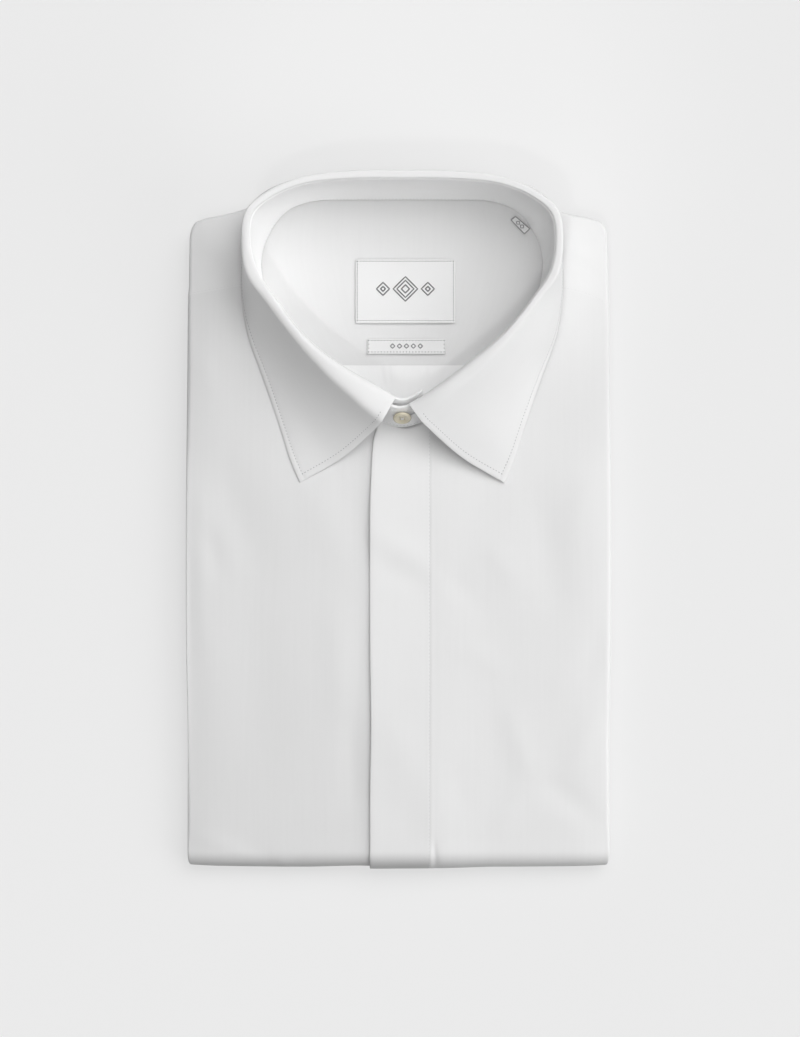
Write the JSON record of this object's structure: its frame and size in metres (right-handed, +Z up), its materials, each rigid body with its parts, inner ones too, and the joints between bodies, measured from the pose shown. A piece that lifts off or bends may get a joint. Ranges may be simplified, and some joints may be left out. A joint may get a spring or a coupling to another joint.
{
  "type": "folded long sleeve dress shirt",
  "caption": "Folded dress shirt lying face up: collar buttoned and standing open at the neck, concealed placket, sleeves and tail folded behind.",
  "frame": {"origin": "centre of the folded shirt's outline, on the surface it lies on", "axes": "+X to the wearer's left across the shirt, +Y from the folded bottom up to the collar, +Z up, out of the shirt's front"},
  "size_m": [0.2078, 0.3404, 0.0479],
  "materials": {
    "shirting": "white cotton, matt",
    "label": "woven label, soft sheen",
    "button": "pearly, polished"
  },
  "bodies": {
    "root": {"folded_layers": "shirting", "front_right": "shirting", "front_left": "shirting", "placket": "shirting", "yoke": "shirting", "yoke_lining": "shirting", "back": "shirting", "collar_stand": "shirting", "collar_fall": "shirting", "neck_label": "label", "small_label": "label", "size_tab": "label", "collar_button": "button"}
  },
  "joints": []
}
